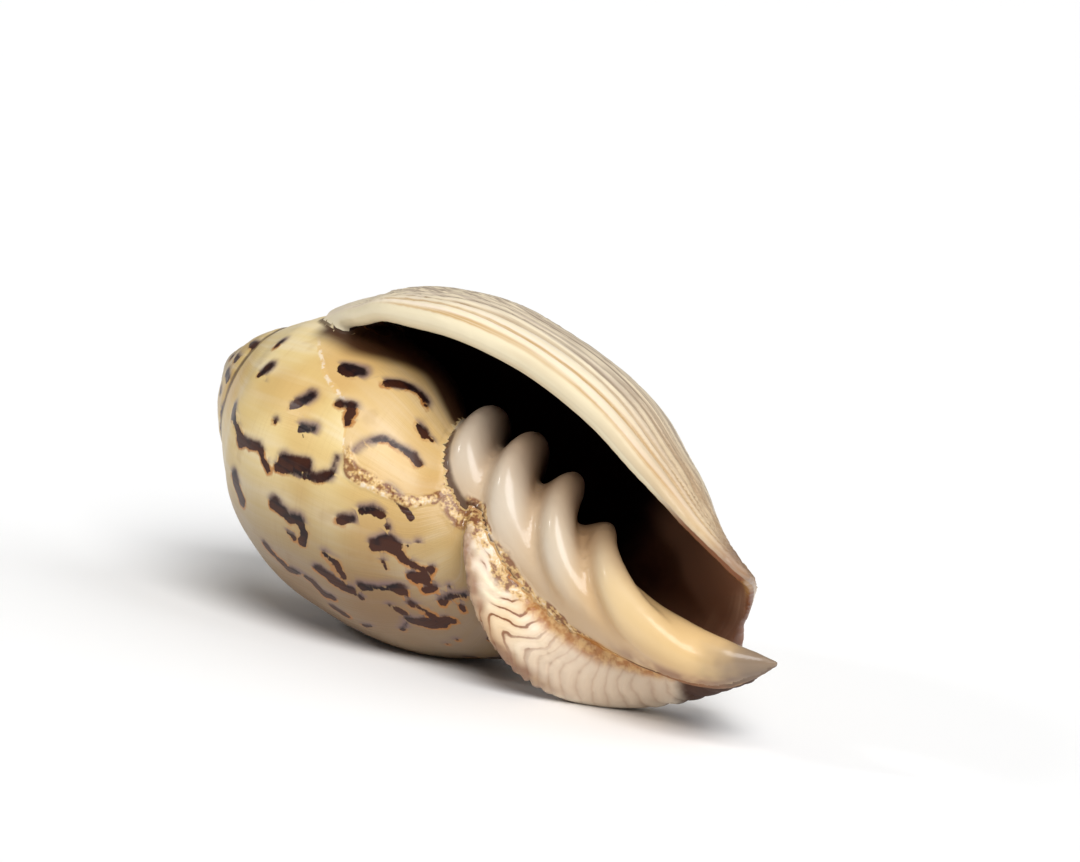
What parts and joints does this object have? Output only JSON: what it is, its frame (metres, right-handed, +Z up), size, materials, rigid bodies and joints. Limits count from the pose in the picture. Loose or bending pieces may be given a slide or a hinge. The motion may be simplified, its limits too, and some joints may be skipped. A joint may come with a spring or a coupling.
{
  "type": "volute shell",
  "caption": "Dried volute sea shell with a wide open aperture, strong columellar plaits, a siphonal notch and a low spire, lying on its belly.",
  "frame": {"origin": "middle of the shell's box in plan, on the surface that it lies on", "axes": "+X along the shell from the spire to the beak, +Z up as it rests, aperture facing -Y and a little up"},
  "size_m": [0.0848, 0.0388, 0.0431],
  "materials": {
    "shell": "glossy cream and buff with maroon-brown blotches, grey-pink plaits and a brown canal"
  },
  "bodies": {
    "root": {"volute_shell": "shell"}
  },
  "joints": []
}
